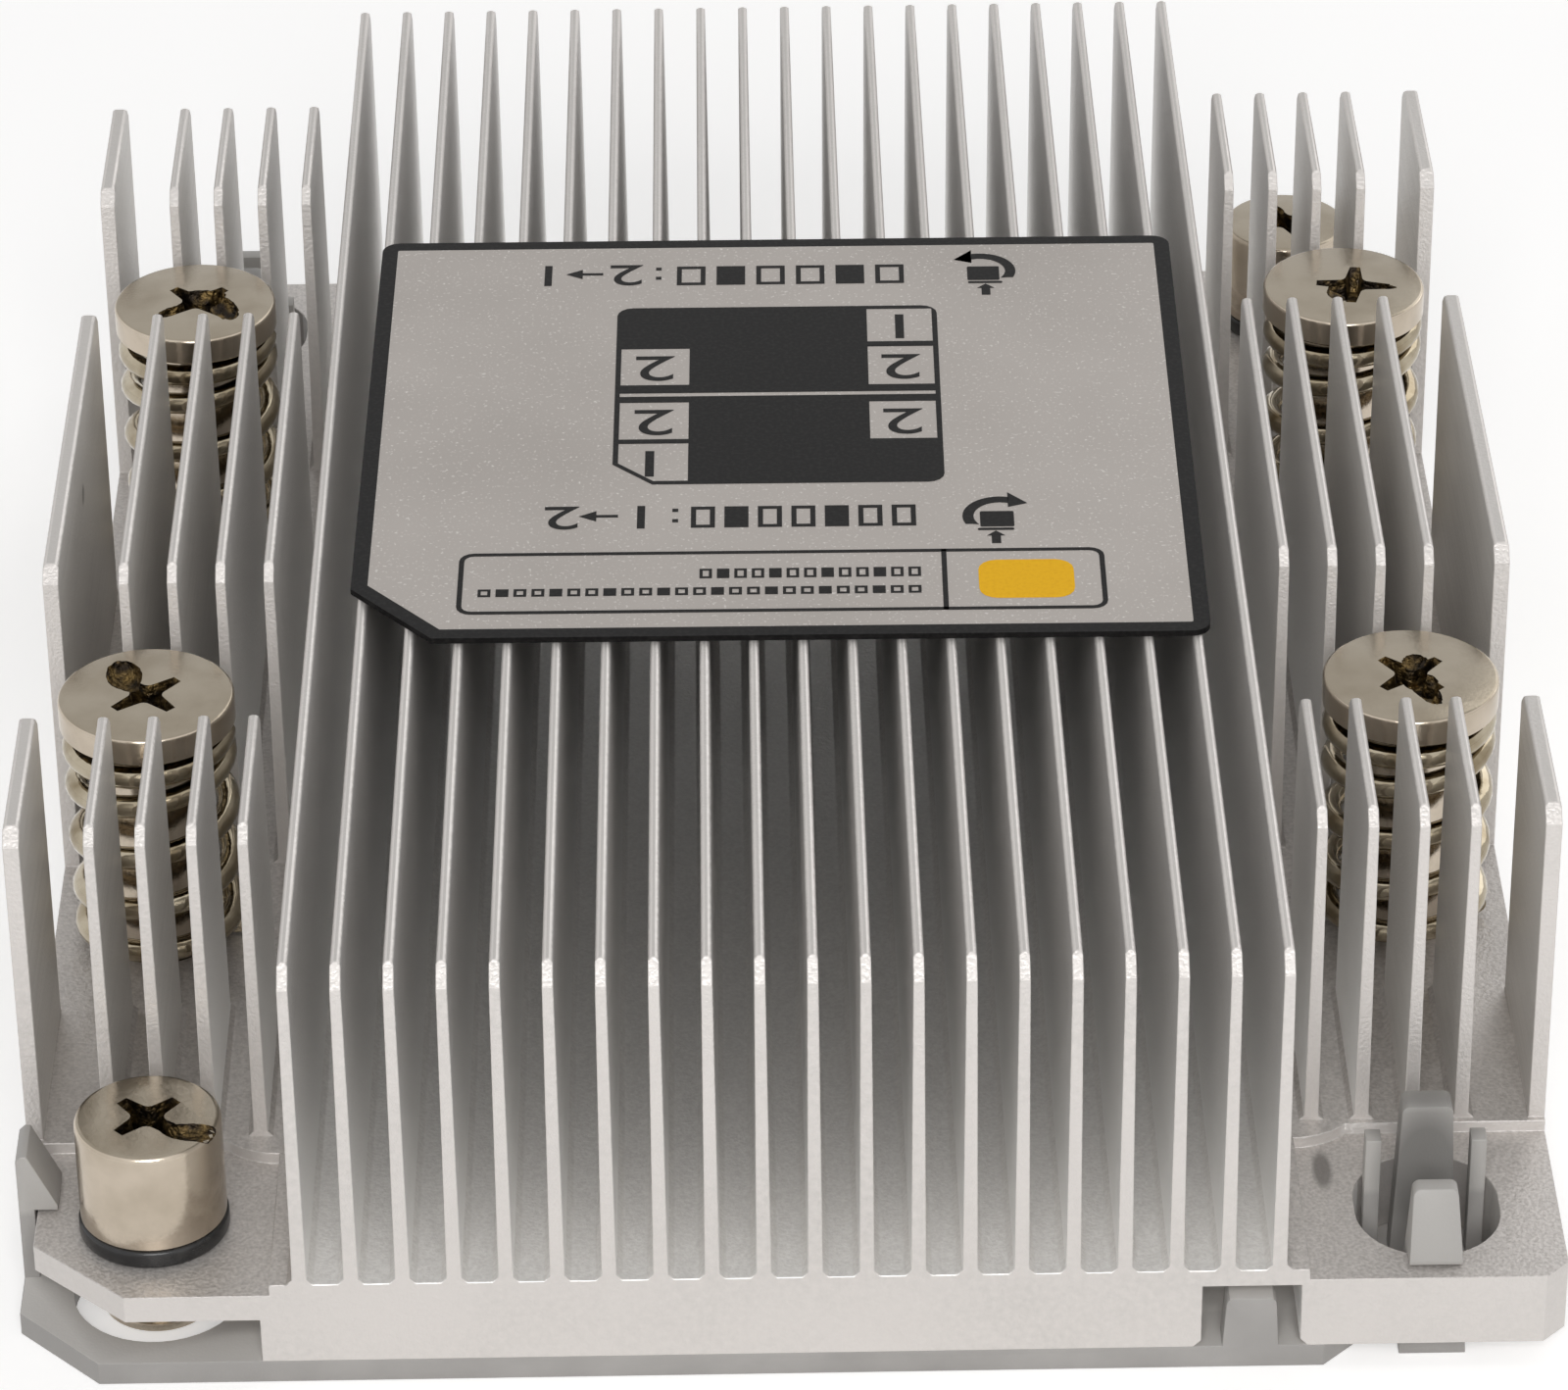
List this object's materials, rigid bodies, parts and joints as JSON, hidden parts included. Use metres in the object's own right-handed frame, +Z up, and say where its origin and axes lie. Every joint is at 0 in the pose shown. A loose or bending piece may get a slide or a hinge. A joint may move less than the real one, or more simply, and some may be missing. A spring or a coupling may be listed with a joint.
{
  "type": "passive server cpu heatsink",
  "caption": "Low finned aluminium heatsink for a rack server processor, with sprung captive screws, corner lock nuts, a moulded carrier beneath and a film label on the fins.",
  "frame": {"origin": "middle of the underside, on the plane that the carrier rests on", "axes": "+Y along the fins and the air flow, towards the back; +X to the right; +Z up, out of the base through the fin tips"},
  "size_m": [0.079, 0.106, 0.0255],
  "materials": {
    "heatsink": "satin, extruded and milled",
    "carrier": "moulded, matt",
    "label": "printed silver film",
    "screw": "nickel plated, worn",
    "spring": "nickel plated wire",
    "ring": "spring steel",
    "lock_screw": "nickel plated, worn",
    "washer": "black nylon"
  },
  "bodies": {
    "root": {"heatsink": "heatsink", "carrier": "carrier", "label": "label", "lock_washer_front_left": "washer", "lock_washer_back_right": "washer", "spring_front_left": "spring", "spring_front_right": "spring", "spring_back_left": "spring", "spring_back_right": "spring"},
    "plunger_front_left": {"spring_screw_ring_front_left": "ring"},
    "screw_front_left": {"spring_screw_front_left": "screw"},
    "plunger_front_right": {"spring_screw_ring_front_right": "ring"},
    "screw_front_right": {"spring_screw_front_right": "screw"},
    "plunger_back_left": {"spring_screw_ring_back_left": "ring"},
    "screw_back_left": {"spring_screw_back_left": "screw"},
    "plunger_back_right": {"spring_screw_ring_back_right": "ring"},
    "screw_back_right": {"spring_screw_back_right": "screw"},
    "collar_front_left": {"lock_screw_ring_front_left": "ring"},
    "lock_front_left": {"lock_screw_front_left": "lock_screw"},
    "collar_back_right": {"lock_screw_ring_back_right": "ring"},
    "lock_back_right": {"lock_screw_back_right": "lock_screw"}
  },
  "joints": [
    {"name": "press_front_left", "type": "slide", "parent": "root", "child": "plunger_front_left", "axis": [0, 0, -1], "range_m": [0, 0.004], "stiffness_N_per_m": 16000, "springref_m": -0.0005, "deforming": ["spring_front_left"]},
    {"name": "turn_front_left", "type": "hinge", "parent": "plunger_front_left", "child": "screw_front_left", "pos_m": [-0.0336, -0.0215, 0.015], "axis": [0, 0, 1], "continuous": true},
    {"name": "press_front_right", "type": "slide", "parent": "root", "child": "plunger_front_right", "axis": [0, 0, -1], "range_m": [0, 0.004], "stiffness_N_per_m": 16000, "springref_m": -0.0005, "deforming": ["spring_front_right"]},
    {"name": "turn_front_right", "type": "hinge", "parent": "plunger_front_right", "child": "screw_front_right", "pos_m": [0.0336, -0.0215, 0.015], "axis": [0, 0, 1], "continuous": true},
    {"name": "press_back_left", "type": "slide", "parent": "root", "child": "plunger_back_left", "axis": [0, 0, -1], "range_m": [0, 0.004], "stiffness_N_per_m": 16000, "springref_m": -0.0005, "deforming": ["spring_back_left"]},
    {"name": "turn_back_left", "type": "hinge", "parent": "plunger_back_left", "child": "screw_back_left", "pos_m": [-0.0336, 0.0215, 0.015], "axis": [0, 0, 1], "continuous": true},
    {"name": "press_back_right", "type": "slide", "parent": "root", "child": "plunger_back_right", "axis": [0, 0, -1], "range_m": [0, 0.004], "stiffness_N_per_m": 16000, "springref_m": -0.0005, "deforming": ["spring_back_right"]},
    {"name": "turn_back_right", "type": "hinge", "parent": "plunger_back_right", "child": "screw_back_right", "pos_m": [0.0336, 0.0215, 0.015], "axis": [0, 0, 1], "continuous": true},
    {"name": "lift_front_left", "type": "slide", "parent": "root", "child": "collar_front_left", "axis": [0, 0, 1], "range_m": [0, 0.0026]},
    {"name": "lock_turn_front_left", "type": "hinge", "parent": "collar_front_left", "child": "lock_front_left", "pos_m": [-0.0324, -0.0468, 0.009], "axis": [0, 0, 1], "continuous": true},
    {"name": "lift_back_right", "type": "slide", "parent": "root", "child": "collar_back_right", "axis": [0, 0, 1], "range_m": [0, 0.0026]},
    {"name": "lock_turn_back_right", "type": "hinge", "parent": "collar_back_right", "child": "lock_back_right", "pos_m": [0.0324, 0.0468, 0.009], "axis": [0, 0, 1], "continuous": true}
  ]
}
